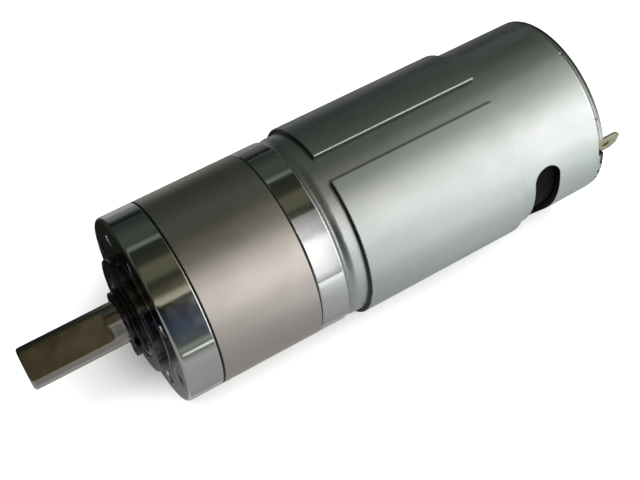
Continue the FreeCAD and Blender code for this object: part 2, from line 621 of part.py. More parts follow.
def terminal():
    """Flat tab with a cropped tip and a hole."""
    tip_x, root_x, half_w = X_REAR - TERM_LEN, -82.7, TERM_W / 2
    y0 = TERM_Y - TERM_T / 2
    outline = [(root_x, -half_w), (root_x, half_w), (tip_x + 1.3, half_w), (tip_x, half_w - 1.1),
               (tip_x, -half_w + 1.1), (tip_x + 1.3, -half_w)]
    points = [V(x, y0, z) for x, z in outline]
    tab = Part.Face(Part.makePolygon(points + [points[0]])).extrude(V(0, TERM_T, 0))
    return cut(tab, Part.makeCylinder(0.85, 4, V(tip_x + 3.0, y0 - 1, 0), V(0, 1, 0)))


write_part("end_plate", end_plate())
write_part("brush_holder", brush_holder())
for tag, side in zip(("left", "right"), SIDES):
    for build in (brush_box, brush, brush_spring, terminal):
        write_part(build.__name__ + "_" + tag, spin(build(), side))
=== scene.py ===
"""Looks and studio for a geared electric motor loaded from CAD.

The shaft axis is X. The shaft and the chrome cap are at the front (+X), the can's rolled rim is at
the rear (-X) and +Z is up. Objects are in metres, shader positions in millimetres.
"""
import bpy, json, math
from functools import cached_property, reduce
from mathutils import Matrix, Vector


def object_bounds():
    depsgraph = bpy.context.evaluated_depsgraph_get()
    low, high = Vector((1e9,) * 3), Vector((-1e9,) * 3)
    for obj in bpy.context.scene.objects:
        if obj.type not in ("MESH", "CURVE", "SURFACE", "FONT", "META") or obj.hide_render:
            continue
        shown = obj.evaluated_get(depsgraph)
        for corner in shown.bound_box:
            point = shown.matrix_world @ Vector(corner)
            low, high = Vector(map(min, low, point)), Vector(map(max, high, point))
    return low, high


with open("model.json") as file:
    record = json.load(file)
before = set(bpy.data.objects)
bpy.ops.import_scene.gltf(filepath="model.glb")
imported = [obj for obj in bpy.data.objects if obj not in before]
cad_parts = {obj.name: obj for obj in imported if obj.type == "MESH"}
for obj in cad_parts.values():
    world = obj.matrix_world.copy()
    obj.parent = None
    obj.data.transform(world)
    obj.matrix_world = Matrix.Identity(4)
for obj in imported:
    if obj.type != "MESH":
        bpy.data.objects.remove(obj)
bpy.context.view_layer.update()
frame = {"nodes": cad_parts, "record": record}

scene = bpy.context.scene
NODE = frame["nodes"]

PAPER = (0.90, 0.90, 0.895)          # backdrop colour
# colour of dirt, and of the painted shade in corners, cut edges, notches and vents
DIRT_AND_SHADE_COLOUR = (0.022, 0.022, 0.020)

# Places on the motor, in mm
RING_ENDS = ((-6.9, -1), (-26.8, 1))   # x of each end of the ring gear, direction into the ring
RIM_X = -89.3                          # rear rim of the can
VENT_X = -75.98                        # middle of the can's long vents
flux_xs = [corner[0] for corner in NODE["flux_ring"].bound_box]
FLUX_REAR, FLUX_FRONT = 1000.0 * min(flux_xs), 1000.0 * max(flux_xs)
# Edges of the flux ring's gap: turn about the shaft in degrees, side the painted shadow is on,
# width of the painted shadow in mm, strength
GAP_EDGES = ((81.4, 1.0, 0.60, 0.55), (98.6, -1.0, 0.34, 0.30))
FLAT_TURN = math.radians(70.2)         # way the shaft's flat faces, from +Y towards +Z
FLAT_START, FLAT_REACH = 6.9, 3.0      # x where the flat starts, its distance from the axis
# painted reflection: colour of the shaft's flat, darker than its round as the dark surroundings it
# reflects
FLAT_REFLECTION_COLOUR = (0.30, 0.255, 0.175)


# ------------------------------------------------------------------ node graphs
def fold(op):
    """Graph method that joins two or more values with one math operation, left to right."""
    return lambda self, *values: reduce(lambda a, b: self.math(op, a, b), values)


class Graph:
    """Builds shader nodes with short calls. Inputs may be numbers, tuples or sockets."""

    add, sub, mul, max = map(fold, ("ADD", "SUBTRACT", "MULTIPLY", "MAXIMUM"))

    def __init__(self, tree, output):
        self.tree = tree
        tree.nodes.clear()
        self.out = self.new(output)

    def put(self, sock, value):
        if isinstance(value, bpy.types.NodeSocket):
            self.tree.links.new(value, sock)
        elif isinstance(value, tuple) and len(value) == 3 and sock.type == "RGBA":
            sock.default_value = (*value, 1.0)
        else:
            sock.default_value = value

    def fill(self, node, inputs):
        """Set inputs from a dict by name or index, or from a sequence in order."""
        for key, value in inputs.items() if isinstance(inputs, dict) else enumerate(inputs):
            self.put(node.inputs[key], value)

    def new(self, kind, inputs=(), **props):
        node = self.tree.nodes.new(kind)
        for key, value in props.items():
            setattr(node, key, value)
        self.fill(node, inputs)
        return node

    def math(self, op, *values, clamp=False):
        return self.new("ShaderNodeMath", values, operation=op, use_clamp=clamp).outputs[0]

    def vmath(self, op, *vectors):
        node = self.new("ShaderNodeVectorMath", vectors, operation=op)
        return node.outputs["Value" if op in ("DOT_PRODUCT", "LENGTH") else "Vector"]

    def scale(self, vector, factor):
        node = self.new("ShaderNodeVectorMath", {0: vector, "Scale": factor}, operation="SCALE")
        return node.outputs["Vector"]

    def xyz(self, x, y, z):
        return self.new("ShaderNodeCombineXYZ", (x, y, z)).outputs[0]

    def split(self, vector):
        return tuple(self.new("ShaderNodeSeparateXYZ", (vector,)).outputs)

    def noise(self, vector, scale=1.0, detail=4.0, rough=0.55, distort=0.0):
        return self.new("ShaderNodeTexNoise", {
            "Vector": vector, "Scale": scale, "Detail": detail, "Roughness": rough,
            "Distortion": distort}, noise_dimensions="3D").outputs["Fac"]

    def bands(self, place, scale, profile):
        """Repeating bands along one measure."""
        return self.new("ShaderNodeTexWave", {"Vector": self.xyz(place, 0.0, 0.0), "Scale": scale},
                        wave_type="BANDS", bands_direction="X",
                        wave_profile=profile).outputs["Fac"]

    def remap(self, value, start, end, at_start=0.0, at_end=1.0, smooth=False):
        """Clamped change from at_start to at_end as the value goes from start to end."""
        node = self.new("ShaderNodeMapRange", (value, start, end, at_start, at_end),
                        interpolation_type="SMOOTHSTEP" if smooth else "LINEAR", clamp=True)
        return node.outputs[0]

    def stretch(self, noise, low=0.0, high=1.0):
        """Spread the middle of a noise, where most of it lies, over a full range."""
        return self.remap(noise, 0.3, 0.7, low, high)

    def ramp(self, value, stops):
        """Colour ramp. Stops are (position, colour)."""
        node = self.new("ShaderNodeValToRGB", (value,))
        node.color_ramp.interpolation = "LINEAR"
        elements = node.color_ramp.elements
        while len(elements) > 1:
            elements.remove(elements[-1])
        for i, (position, colour) in enumerate(stops):
            stop = elements.new(position) if i else elements[0]
            stop.position = position
            stop.color = (*colour, 1.0)
        return node.outputs[0]

    def mix(self, factor, a, b):
        """Blend of two colours."""
        return self.new("ShaderNodeMix", {0: factor, 6: a, 7: b}, data_type="RGBA",
                        blend_type="MIX", clamp_factor=True).outputs[2]

    def lerp(self, factor, a, b):
        """Blend of two numbers."""
        return self.new("ShaderNodeMix", {0: factor, 2: a, 3: b}, data_type="FLOAT").outputs[0]

    def bump(self, height, strength, depth, normal=None, invert=False):
        """Relief of a depth in metres, over another normal if one is given."""
        inputs = {"Strength": strength, "Distance": depth, "Height": height}
        if normal is not None:
            inputs["Normal"] = normal
        return self.new("ShaderNodeBump", inputs, invert=invert).outputs[0]


class Place:
    """Measures of the shaded point. Nodes are made on first use.

    mm is the object position as a vector, x, y, z its parts and r its distance from the shaft
    axis. nx and nr are the parts of the normal along and away from the axis.
    """

    def __init__(self, g):
        self.g = g
        self.mm = g.scale(g.new("ShaderNodeTexCoord").outputs["Object"], 1000.0)

    parts = cached_property(lambda self: self.g.split(self.mm))
    x = property(lambda self: self.parts[0])
    y = property(lambda self: self.parts[1])
    z = property(lambda self: self.parts[2])

    @cached_property
    def r(self):
        g = self.g
        return g.math("SQRT", g.add(g.mul(self.y, self.y), g.mul(self.z, self.z)))

    @cached_property
    def normal(self):
        return self.g.split(self.g.new("ShaderNodeTexCoord").outputs["Normal"])

    nx = property(lambda self: self.normal[0])

    @cached_property
    def nr(self):
        g = self.g
        outward = g.add(g.mul(self.y, self.normal[1]), g.mul(self.z, self.normal[2]))
        return g.math("DIVIDE", outward, g.max(self.r, 0.001))


def blank(name):
    """New material with its graph and its Principled shader."""
    mat = bpy.data.materials.new(name)
    mat.use_nodes = True
    g = Graph(mat.node_tree, "ShaderNodeOutputMaterial")
    bsdf = g.new("ShaderNodeBsdfPrincipled")
    g.put(g.out.inputs[0], bsdf.outputs[0])
    return mat, g, bsdf


def shade(colour, gain, lift=0.0):
    return tuple(min(1.0, c * gain + lift) for c in colour)


def soft_normal(g, radius):
    return g.new("ShaderNodeBevel", {"Radius": radius}, samples=6).outputs[0]


def edge_mask(g, soft):
    """0 to 1 on edges and corners, where the softened normal leaves the true one."""
    true = g.new("ShaderNodeNewGeometry").outputs["Normal"]
    return g.remap(g.sub(1.0, g.vmath("DOT_PRODUCT", soft, true)), 0.02, 0.22)


def scratches(g, mm, scale, thin, seed):
    """Sparse fine scratches: 0 to 1, from thin bands of stretched noise at three slants."""
    lines = []
    for i, slant in enumerate(((1.0, 0.07, 0.05), (0.06, 1.0, 0.9), (0.5, 0.42, -0.35))):
        v = g.vmath("MULTIPLY", mm, tuple(s * scale for s in slant))
        v = g.vmath("ADD", v, (seed + 7.3 * i, 3.1 * i, seed * 0.7))
        n = g.noise(v, scale=1.0, detail=2.0, rough=0.4, distort=0.6)
        line = g.remap(g.math("ABSOLUTE", g.sub(n, 0.5)), 0.0, thin, 1.0, 0.0)
        shifted = g.vmath("ADD", mm, (seed * 3.0 + 11 * i, 0, 0))
        where = g.remap(g.noise(shifted, scale=0.22, detail=2.0, rough=0.5), 0.56, 0.70)
        lines.append(g.mul(line, where))
    return g.max(*lines)


# ------------------------------------------------------------------ local dirt, painted shade and reflections, and finishes
def joint_dirt(g, at):
    """Dark line where grit sits in the chamfers at both ends of the ring gear."""
    return g.max(*(g.remap(at.x, end + inward * 0.30, end + inward * 0.20, 0.0, 0.93)
                   for end, inward in RING_ENDS))


def gap_edge_shadow(g, at):
    """Painted shadow in the corner where each edge of the flux ring's gap stands on the can."""
    lines = []
    for turn, side, width, strength in GAP_EDGES:
        t = math.radians(turn)
        across = g.mul(g.add(g.mul(at.y, -math.sin(t)), g.mul(at.z, math.cos(t))), side)
        lines.append(g.mul(g.remap(across, -0.40, -0.10),
                           g.remap(across, width, width - 0.22, 0.0, strength)))
    covered = g.mul(g.remap(at.x, FLUX_REAR - 0.05, FLUX_REAR + 0.05),
                    g.remap(at.x, FLUX_FRONT + 0.05, FLUX_FRONT - 0.05))
    return g.mul(g.max(*lines), covered)


def can_shade_and_dark_rim(g, at):
    # darker turn of the rolled rear edge, stronger towards the top
    rim = g.mul(g.remap(at.x, RIM_X + 1.05, RIM_X + 0.60, 0.0, 0.90),
                g.remap(at.z, 9.0, 15.5, 0.25, 1.0))
    # painted shade on the cut walls of the notches and on the crimped tabs
    notches = g.mul(g.remap(at.x, RIM_X + 1.42, RIM_X + 1.36),
                    g.remap(at.x, RIM_X + 0.02, RIM_X + 0.08))
    walls = g.mul(notches, g.remap(at.nr, 0.55, 0.35, 0.0, 0.95))
    tabs = g.mul(notches, g.remap(at.x, RIM_X + 0.98, RIM_X + 0.93),
                 g.remap(at.r, 17.78, 17.66, 0.0, 0.90))
    # painted shade on the punched walls of the two long vents
    vents = g.mul(g.remap(g.math("ABSOLUTE", g.sub(at.x, VENT_X)), 3.1, 2.95),
                  g.remap(at.nr, 0.6, 0.4, 0.0, 0.95))
    return g.max(rim, vents, gap_edge_shadow(g, at), g.max(walls, tabs))


def cut_edge_shade(g, at):
    """Painted shade on the strip's front cut edge and on the two long ones at its gap, as the
    shadow line there.
    """
    front = g.remap(at.nx, 0.45, 0.75, 0.0, 0.90)
    sides = g.mul(g.remap(g.math("ABSOLUTE", at.nr), 0.50, 0.30, 0.0, 0.85),
                  g.remap(g.math("ABSOLUTE", at.nx), 0.5, 0.3))
    return g.max(front, sides)


def plate_edge_dark(g, at):
    # darker outer edge of the end plate, by the can's rim
    return g.remap(at.r, 16.1, 16.4, 0.0, 0.92)


def flat_painted_dark(g, at, colour, fine):
    """The shaft's ground flat, painted duller and browner than its round, for the dark reflection
    it shows.
    """
    outward = g.add(g.mul(at.y, math.cos(FLAT_TURN)), g.mul(at.z, math.sin(FLAT_TURN)))
    flat = g.mul(g.remap(outward, FLAT_REACH - 0.03, FLAT_REACH - 0.012),
                 g.remap(at.x, FLAT_START, FLAT_START + 0.06))
    return g.mix(flat, colour, g.mix(g.stretch(fine), FLAT_REFLECTION_COLOUR, shade(FLAT_REFLECTION_COLOUR, 1.12)))


def front_face_painted_dark(g, at, colour):
    """Dull turned front face, painted near black for the dark surroundings it reflects, with a
    near-black boss and the boss's reflection painted round it.

    Returns the colour and the added roughness.
    """
    face = g.mul(g.remap(at.nx, 0.80, 0.97), g.remap(at.x, -0.9, -0.3))
    boss = g.remap(at.x, 0.02, 0.10)
    mottle = g.noise(at.mm, scale=0.8, detail=5.0, rough=0.62, distort=0.15)
    mottle = g.remap(mottle, 0.36, 0.64)
    # painted reflection: the mirror face coloured near black, as the dark surroundings it reflects
    colour = g.mix(g.mul(face, g.lerp(mottle, 0.82, 0.98)), colour, (0.040, 0.040, 0.043))
    # painted reflection of the black boss on the face round it; the boss itself is coloured near
    # black too
    middle = g.mul(face, g.remap(g.add(at.r, g.mul(mottle, 1.2)), 13.2, 12.2))
    boss_and_reflection = g.mul(g.max(boss, middle), g.lerp(mottle, 0.80, 0.97))
    colour = g.mix(boss_and_reflection, colour, (0.020, 0.020, 0.022))
    return colour, g.mul(g.max(face, boss), g.lerp(mottle, 0.06, 0.16))


# ------------------------------------------------------------------ kinds of material
def grain_noise(g, at, grain, scale):
    """Fine grain: turned round the axis, drawn along it, milled across it, or even."""
    if grain == "turned":
        rings = g.mul(g.add(at.x, at.r), scale)
        v = g.xyz(rings, g.mul(at.y, 0.12), g.mul(at.z, 0.12))
        return g.noise(v, detail=5.0, rough=0.65)
    if grain == "even":
        return g.noise(at.mm, scale=scale, detail=5.0, rough=0.65)
    stretch = {"drawn": (0.10, scale * 0.6, scale * 0.6), "milled": (scale, 0.3, 0.3)}[grain]
    return g.noise(g.vmath("MULTIPLY", at.mm, stretch), detail=4.0, rough=0.6)


def metal(name, base, tint, rough, grain="even", grain_amt=0.4, grain_scale=6.0,
          speckle=0.0, speckle_scale=14.0, smudge=0.06, scratch=0.5, blotch=0.10, grime_and_shade=0.4,
          edge_radius=0.00025, edge_colour=None, edge_rough=0.12, wobble=0.0, coat=0.0,
          dirt_and_shade=None, flat=False, front=False):
    """Worn metal.

    base and tint are its clouded colours. grain_amt, speckle, smudge, scratch, blotch and
    grime_and_shade are strengths, the last for the soiling and painted shade in hollows;
    edge_rough is the roughness added on edges, wobble the depth in metres of a slow unevenness.
    dirt_and_shade gives a mask of soiling and painted shade; flat and front turn on the shaft's
    flat and the front face, each painted darker for the dark reflection it shows.
    """
    mat, g, bsdf = blank(name)
    at = Place(g)
    fine = grain_noise(g, at, grain, grain_scale)
    cloud = g.noise(at.mm, scale=0.16, detail=5.0, rough=0.55, distort=0.6)
    shifted = g.vmath("ADD", at.mm, (31.0, 5.0, 9.0))
    patch = g.noise(shifted, scale=0.7, detail=6.0, rough=0.62, distort=0.3)
    soft = soft_normal(g, edge_radius)
    wear_and_highlight = g.mul(edge_mask(g, soft), g.remap(patch, 0.30, 0.62, 0.35, 1.0))
    scratched = scratches(g, at.mm, scale=1.5, thin=0.014, seed=len(name) * 1.7)

    # colour: cloudy tint, dark blotches, fine grain, speckle, lighter edges from rubbed wear and a
    # painted highlight, grime and painted shade in hollows
    colour = g.mix(g.remap(cloud, 0.32, 0.68), base, tint)
    blotches = g.math("MULTIPLY", g.remap(patch, 0.50, 0.74), blotch * 4.0, clamp=True)
    colour = g.mix(blotches, colour, shade(base, 1.0 - blotch * 1.6))
    colour = g.mix(g.mul(g.stretch(fine), 0.32 * grain_amt), colour, shade(base, 1.12))
    if speckle:
        dots = g.noise(at.mm, scale=speckle_scale, detail=3.0, rough=0.7)
        colour = g.mix(g.mul(g.remap(dots, 0.55, 0.75), speckle), colour, shade(base, 0.72))
    # lighter edges: rubbed wear with a painted highlight
    colour = g.mix(g.mul(wear_and_highlight, 0.65), colour, edge_colour or shade(base, 1.15))
    # painted shade: ambient occlusion darkens the hollows, broken up as grime by the patch noise
    occlusion = g.new("ShaderNodeAmbientOcclusion", {"Distance": 0.0012}, samples=4,
                      only_local=True)
    hollow = g.remap(occlusion.outputs["AO"], 0.35, 0.92, 1.0, 0.0)
    hollow = g.mul(hollow, g.remap(patch, 0.25, 0.6, 0.5, 1.0), grime_and_shade)
    colour = g.mix(hollow, colour, shade(base, 0.30))

    # roughness: smudges, patches, grain, edges and scratches
    roughness = g.add(rough,
                      g.stretch(cloud, -smudge * 0.6, smudge),
                      g.remap(patch, 0.45, 0.75, 0.0, smudge * 1.2),
                      g.mul(g.stretch(fine, -1.0, 1.0), 0.05 * grain_amt),
                      g.mul(wear_and_highlight, edge_rough))
    roughness = g.math("ADD", roughness, g.mul(scratched, 0.12 * scratch), clamp=True)

    # dirt and painted shade, from the mask given
    if dirt_and_shade:
        stain_and_shade = dirt_and_shade(g, at)
        colour = g.mix(stain_and_shade, colour, DIRT_AND_SHADE_COLOUR)
    if flat:
        colour = flat_painted_dark(g, at, colour, fine)
    if front:
        colour, dull = front_face_painted_dark(g, at, colour)
        roughness = g.math("ADD", roughness, dull, clamp=True)
    if dirt_and_shade:
        roughness = g.math("ADD", roughness, g.mul(stain_and_shade, 0.15), clamp=True)

    # relief: grain, speckle, scratches and a slow unevenness, over softened edges
    normal = g.bump(fine, strength=0.22 * grain_amt, depth=4e-6, normal=soft)
    if speckle:
        normal = g.bump(dots, strength=0.5 * speckle, depth=6e-6, normal=normal)
    normal = g.bump(scratched, strength=0.35 * scratch, depth=3e-6, normal=normal, invert=True)
    if wobble:
        slow = g.noise(at.mm, scale=0.35, detail=2.0, rough=0.5)
        normal = g.bump(slow, strength=1.0, depth=wobble, normal=normal)
    g.fill(bsdf, {"Base Color": colour, "Roughness": g.max(roughness, 0.02), "Metallic": 1.0,
                  "Normal": normal})
    if coat:
        g.fill(bsdf, {"Coat Weight": coat, "Coat Roughness": 0.18})
    return mat


def plastic(name, base, rough, texture, scale=6.0, fleck=0.0, fleck_colour=None, wear_and_highlight=0.35,
            specular=0.45):
    """Moulded plastic or rubber; texture is the strength of its grain."""
    mat, g, bsdf = blank(name)
    mm = Place(g).mm
    fine = g.noise(mm, scale=scale, detail=6.0, rough=0.65)
    cloud = g.noise(mm, scale=0.3, detail=4.0, rough=0.55)
    soft = soft_normal(g, 0.0002)
    colour = g.mix(g.stretch(cloud), base, shade(base, 1.6))
    # lighter edges: rubbed wear with a painted highlight
    colour = g.mix(g.mul(edge_mask(g, soft), wear_and_highlight), colour, shade(base, 2.2, 0.02))
    if fleck:
        flecks = g.remap(g.noise(mm, scale=scale * 2.2, detail=2.0, rough=0.5), 0.62, 0.72)
        colour = g.mix(g.mul(flecks, fleck), colour, fleck_colour)
    normal = g.bump(fine, strength=0.35 * texture, depth=1e-5, normal=soft)
    scratched = scratches(g, mm, scale=1.2, thin=0.012, seed=4.0)
    g.fill(bsdf, {
        "Base Color": colour,
        "Roughness": g.math("ADD", rough, g.stretch(fine, -0.08, 0.10), clamp=True),
        "Normal": g.bump(scratched, strength=0.2, depth=4e-6, normal=normal, invert=True),
        "Specular IOR Level": specular})
    return mat


def ferrite(name, base, rough, grit):
    """Sintered or pressed block: porous, grainy, with small bright flecks."""
    mat, g, bsdf = blank(name)
    mm = Place(g).mm
    fine = g.noise(mm, scale=9.0, detail=6.0, rough=0.7)
    cells = g.new("ShaderNodeTexVoronoi", {"Vector": mm, "Scale": 5.0, "Randomness": 1.0},
                  feature="F1")
    pores = g.remap(cells.outputs["Distance"], 0.05, 0.18, 1.0, 0.0)
    cloud = g.noise(mm, scale=0.4, detail=4.0, rough=0.6)
    soft = soft_normal(g, 0.00025)
    colour = g.mix(g.stretch(cloud), base, shade(base, 1.5))
    colour = g.mix(g.mul(g.remap(fine, 0.6, 0.72), 0.5), colour, shade(base, 3.0))
    # lighter edges: rubbed wear with a painted highlight
    colour = g.mix(g.mul(edge_mask(g, soft), 0.4), colour, shade(base, 2.4, 0.02))
    normal = g.bump(fine, strength=0.5 * grit, depth=1.5e-5, normal=soft)
    g.fill(bsdf, {
        "Base Color": colour,
        "Roughness": g.math("ADD", rough, g.stretch(fine, -0.1, 0.1), clamp=True),
        "Normal": g.bump(pores, strength=0.5 * grit, depth=1.5e-5, normal=normal, invert=True),
        "Metallic": 0.25})
    return mat


def copper_wire(name):
    """Enamelled wire bundle: round strands laid side by side round each tooth."""
    mat, g, bsdf = blank(name)
    at = Place(g)
    jitter = g.noise(at.mm, scale=0.8, detail=2.0, rough=0.5)
    strand = g.bands(g.add(at.r, g.mul(jitter, 0.35)), scale=0.95, profile="SIN")
    cloud = g.noise(at.mm, scale=0.5, detail=4.0, rough=0.6)
    fine = g.noise(at.mm, scale=7.0, detail=4.0, rough=0.6)
    colour = g.mix(g.stretch(cloud), (0.50, 0.17, 0.06), (0.66, 0.27, 0.10))
    # painted shade in the grooves between the round strands
    colour = g.mix(g.remap(strand, 0.0, 0.35, 0.75, 0.0), colour, (0.10, 0.03, 0.012))
    normal = g.bump(strand, strength=0.9, depth=1.2e-4)
    g.fill(bsdf, {
        "Base Color": colour, "Metallic": 0.85, "Roughness": g.stretch(fine, 0.22, 0.36),
        "Coat Weight": 0.6, "Coat Roughness": 0.12,
        "Normal": g.bump(fine, strength=0.1, depth=5e-6, normal=normal)})
    return mat


def laminated(name):
    """Stack of steel sheets along the axis, with dark lines between them."""
    mat, g, bsdf = blank(name)
    at = Place(g)
    sheet = g.remap(g.bands(at.x, scale=0.314, profile="TRI"), 0.0, 0.16)
    cloud = g.noise(at.mm, scale=0.35, detail=4.0, rough=0.6)
    fine = g.noise(g.vmath("MULTIPLY", at.mm, (14.0, 1.2, 1.2)), detail=4.0, rough=0.6)
    colour = g.mix(g.stretch(cloud), (0.30, 0.31, 0.33), (0.40, 0.38, 0.35))
    colour = g.mix(g.mul(g.sub(1.0, sheet), 0.75), colour, (0.05, 0.045, 0.04))
    normal = g.bump(sheet, strength=0.6, depth=3e-5, normal=soft_normal(g, 0.0002))
    g.fill(bsdf, {
        "Base Color": colour, "Metallic": 1.0,
        "Roughness": g.add(0.36, g.stretch(fine, -0.06, 0.08)),
        "Normal": g.bump(fine, strength=0.25, depth=5e-6, normal=normal)})
    return mat


# ------------------------------------------------------------------ materials by slot
CHROME = dict(grain="turned", grain_amt=0.10, grain_scale=12.0, scratch=0.30, blotch=0.03,
              edge_radius=0.0002, edge_rough=0.05, wobble=3.0e-6)
BLACKED = dict(grain_amt=0.5, grain_scale=5.0, smudge=0.08, blotch=0.12, edge_rough=0.0)

MATS = {
    "cap_chrome": metal(
        "Chrome_Cap", base=(0.80, 0.80, 0.79), tint=(0.76, 0.77, 0.76), rough=0.050,
        smudge=0.025, edge_colour=(0.86, 0.85, 0.83), grime_and_shade=0.35, front=True, **CHROME),
    "adapter_chrome": metal(
        "Chrome_Adapter", base=(0.82, 0.82, 0.82), tint=(0.78, 0.79, 0.79), rough=0.065,
        smudge=0.035, edge_colour=(0.86, 0.85, 0.84), grime_and_shade=0.30, **CHROME),
    "ring_nickel": metal(
        "Satin_Nickel_Ring", base=(0.72, 0.667, 0.622), tint=(0.68, 0.632, 0.59), rough=0.335,
        grain="turned", grain_amt=0.45, grain_scale=7.0, speckle=0.22, speckle_scale=7.0,
        smudge=0.03, scratch=0.4, blotch=0.05, edge_colour=(0.80, 0.78, 0.75),
        edge_rough=-0.08, grime_and_shade=0.3, dirt_and_shade=joint_dirt),
    "can_zinc": metal(
        "Satin_Zinc_Can", base=(0.712, 0.748, 0.727), tint=(0.675, 0.713, 0.692), rough=0.33,
        grain="drawn", speckle=0.14, speckle_scale=9.0, smudge=0.035, blotch=0.05,
        edge_colour=(0.82, 0.84, 0.83), edge_rough=-0.05, grime_and_shade=0.35, wobble=1.5e-5,
        dirt_and_shade=can_shade_and_dark_rim),
    "flux_zinc": metal(
        "Satin_Zinc_Flux_Ring", base=(0.692, 0.728, 0.707), tint=(0.655, 0.693, 0.672),
        rough=0.345, grain="drawn", grain_amt=0.45, grain_scale=5.0, speckle=0.16,
        speckle_scale=8.0, smudge=0.035, scratch=0.55, blotch=0.06,
        edge_colour=(0.84, 0.86, 0.84), edge_rough=-0.08, grime_and_shade=0.3, wobble=1.5e-5,
        dirt_and_shade=cut_edge_shade),
    "end_plate_zinc": metal(
        "Satin_Zinc_End_Plate", base=(0.62, 0.64, 0.62), tint=(0.57, 0.60, 0.58), rough=0.34,
        grain_scale=4.0, speckle=0.15, smudge=0.05, scratch=0.6, blotch=0.09, grime_and_shade=0.45,
        dirt_and_shade=plate_edge_dark),
    "shaft_steel": metal(
        "Ground_Steel_Shaft", base=(0.50, 0.475, 0.435), tint=(0.44, 0.415, 0.375), rough=0.17,
        grain="milled", grain_amt=0.20, grain_scale=3.0, smudge=0.05, scratch=0.0,
        edge_colour=(0.74, 0.72, 0.69), edge_rough=0.02, grime_and_shade=0.35, flat=True),
    "clip_black": metal(
        "Oiled_Spring_Steel", base=(0.045, 0.045, 0.05), tint=(0.06, 0.06, 0.062), rough=0.28,
        edge_colour=(0.30, 0.29, 0.28), coat=0.5, grime_and_shade=0.5, **BLACKED),
    "screw_black": metal(
        "Black_Oxide_Screws", base=(0.065, 0.063, 0.065), tint=(0.09, 0.085, 0.08), rough=0.30,
        edge_colour=(0.34, 0.33, 0.32), coat=0.3, grime_and_shade=0.6, **BLACKED),
    "bearing_steel": metal(
        "Polished_Bearing_Steel", base=(0.74, 0.74, 0.74), tint=(0.70, 0.70, 0.71), rough=0.10,
        grain="turned", grain_amt=0.25, grain_scale=10.0, smudge=0.05, scratch=0.3,
        blotch=0.05, edge_colour=(0.82, 0.82, 0.82), edge_rough=0.04),
    "bearing_cage": metal(
        "Brass_Cage", base=(0.66, 0.52, 0.26), tint=(0.58, 0.44, 0.20), rough=0.26,
        scratch=0.4),
    "seal_rubber": plastic(
        "Rubber_Seal", base=(0.018, 0.018, 0.018), rough=0.55, texture=0.7, scale=5.0),
    "washer_steel": metal(
        "Bright_Washer", base=(0.62, 0.62, 0.61), tint=(0.57, 0.57, 0.56), rough=0.22,
        grain="turned", grain_amt=0.5, grain_scale=8.0, smudge=0.05, scratch=0.7, blotch=0.08,
        grime_and_shade=0.3),
    "gear_steel": metal(
        "Sintered_Gear_Steel", base=(0.48, 0.47, 0.45), tint=(0.40, 0.39, 0.37), rough=0.36,
        grain_amt=0.7, grain_scale=5.0, speckle=0.35, speckle_scale=6.0, smudge=0.08,
        blotch=0.14, edge_colour=(0.66, 0.65, 0.63), edge_rough=-0.10, coat=0.35, grime_and_shade=0.6),
    "carrier_steel": metal(
        "Turned_Carrier_Steel", base=(0.56, 0.55, 0.53), tint=(0.50, 0.49, 0.47), rough=0.27,
        grain="turned", grain_amt=0.8, grain_scale=5.0, edge_colour=(0.72, 0.71, 0.69),
        coat=0.25, grime_and_shade=0.45),
    "terminal_brass": metal(
        "Stamped_Brass_Terminal", base=(0.66, 0.62, 0.40), tint=(0.58, 0.545, 0.345),
        rough=0.30, grain="milled", smudge=0.07, scratch=0.8, blotch=0.14,
        edge_colour=(0.78, 0.74, 0.52), edge_rough=-0.05),
    "brush_gear_brass": metal(
        "Folded_Brass", base=(0.70, 0.57, 0.29), tint=(0.62, 0.50, 0.25), rough=0.24,
        grain="milled", scratch=0.6),
    "spring_steel": metal(
        "Spring_Steel", base=(0.42, 0.41, 0.40), tint=(0.34, 0.35, 0.38), rough=0.24,
        grime_and_shade=0.3),
    "holder_plastic": plastic(
        "Black_Glass_Filled_Plastic", base=(0.0022, 0.0022, 0.0024), rough=0.60, texture=0.8,
        fleck=0.10, fleck_colour=(0.02, 0.02, 0.02), wear_and_highlight=0.12, specular=0.06),
    "insulator_plastic": plastic(
        "Green_Insulator", base=(0.07, 0.19, 0.11), rough=0.40, texture=0.5),
    "hub_plastic": plastic(
        "Brown_Phenolic", base=(0.16, 0.055, 0.022), rough=0.38, texture=0.5, fleck=0.35,
        fleck_colour=(0.30, 0.14, 0.06)),
    "magnet_ferrite": ferrite(
        "Ferrite_Magnet", base=(0.050, 0.050, 0.053), rough=0.55, grit=0.8),
    "core_laminations": laminated("Laminated_Core"),
    "winding_copper": copper_wire("Enamelled_Winding"),
    "commutator_copper": metal(
        "Commutator_Copper", base=(0.72, 0.36, 0.20), tint=(0.62, 0.30, 0.17), rough=0.22,
        grain="turned", grain_amt=0.9, grain_scale=9.0, blotch=0.16,
        edge_colour=(0.85, 0.48, 0.30), grime_and_shade=0.6),
    "suppressor_ceramic": ferrite(
        "Ceramic_Ring", base=(0.070, 0.066, 0.060), rough=0.5, grit=0.5),
    "brush_carbon": ferrite(
        "Copper_Graphite", base=(0.040, 0.037, 0.036), rough=0.42, grit=0.7),
    "bush_bronze": ferrite("Sintered_Bronze", base=(0.42, 0.27, 0.11), rough=0.38, grit=0.7),
}

for sub in frame["record"]["subparts"]:
    slots = NODE[sub["node"]].data.materials
    slots.clear()
    slots.append(MATS[sub["material_slot"]])


# ------------------------------------------------------------------ floor
FLOOR_HALF = 3.0
FLOOR_DROP = 0.00002     # gap under the lowest point

